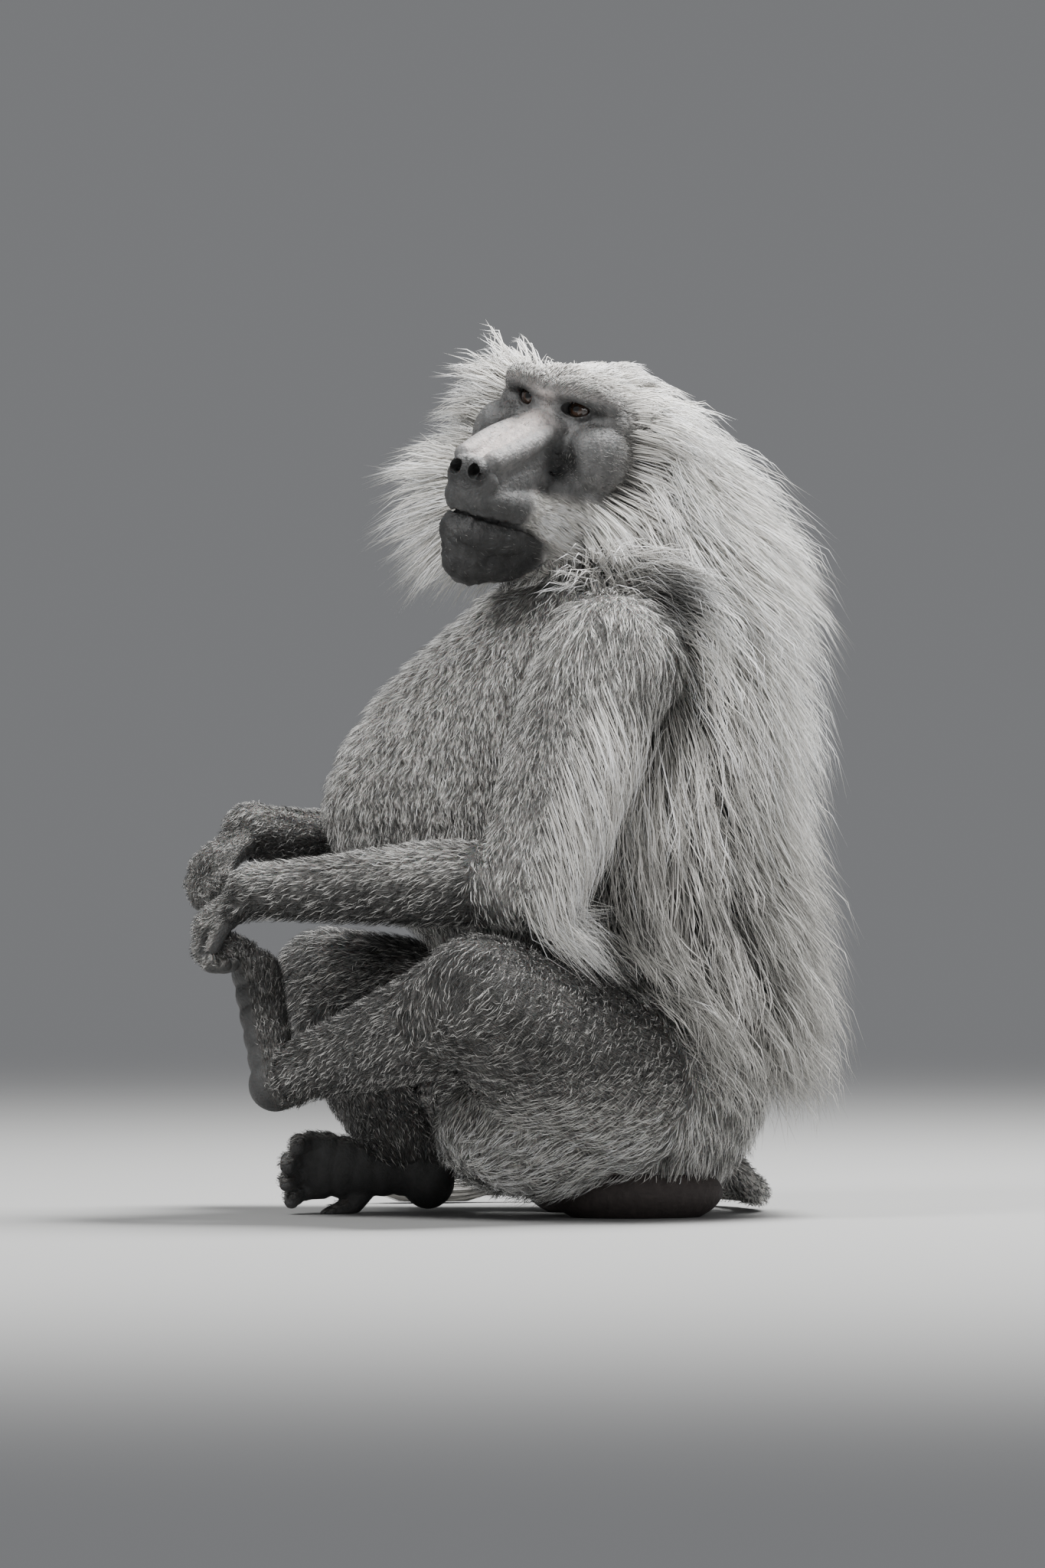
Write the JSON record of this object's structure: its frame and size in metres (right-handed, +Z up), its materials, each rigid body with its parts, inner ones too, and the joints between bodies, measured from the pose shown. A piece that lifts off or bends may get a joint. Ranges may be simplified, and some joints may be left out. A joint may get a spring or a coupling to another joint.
{
  "type": "sitting male hamadryas baboon model",
  "caption": "Life-size still model of a sitting adult male baboon with a full mane, head turned to its left, hands clasped and one foot held up.",
  "frame": {"origin": "bottom centre of the bounding box, on the floor that the animal sits on", "axes": "+Z up, the body faces -Y, its left side is +X"},
  "size_m": [0.5192, 0.5396, 0.7062],
  "materials": {
    "face_skin": "bare, finely creased skin",
    "mane_hair": "long silver hair",
    "body_coat": "short grizzled grey hair",
    "hand_skin": "dark creased skin with short hair",
    "bare_pad": "smooth hardened skin",
    "eye_gloss": "wet and glossy"
  },
  "bodies": {
    "root": {"head": "face_skin", "ear_left": "face_skin", "ear_right": "face_skin", "eye_left": "eye_gloss", "eye_right": "eye_gloss", "neck": "mane_hair", "torso": "body_coat", "pad_left": "bare_pad", "pad_right": "bare_pad", "upper_arm_left": "body_coat", "upper_arm_right": "body_coat", "forearm_left": "body_coat", "forearm_right": "body_coat", "hand_left": "hand_skin", "hand_right": "hand_skin", "thigh_left": "body_coat", "thigh_right": "body_coat", "shank_left": "body_coat", "shank_right": "body_coat", "foot_left": "hand_skin", "foot_right": "hand_skin", "tail": "body_coat", "tail_tuft": "mane_hair"}
  },
  "joints": []
}
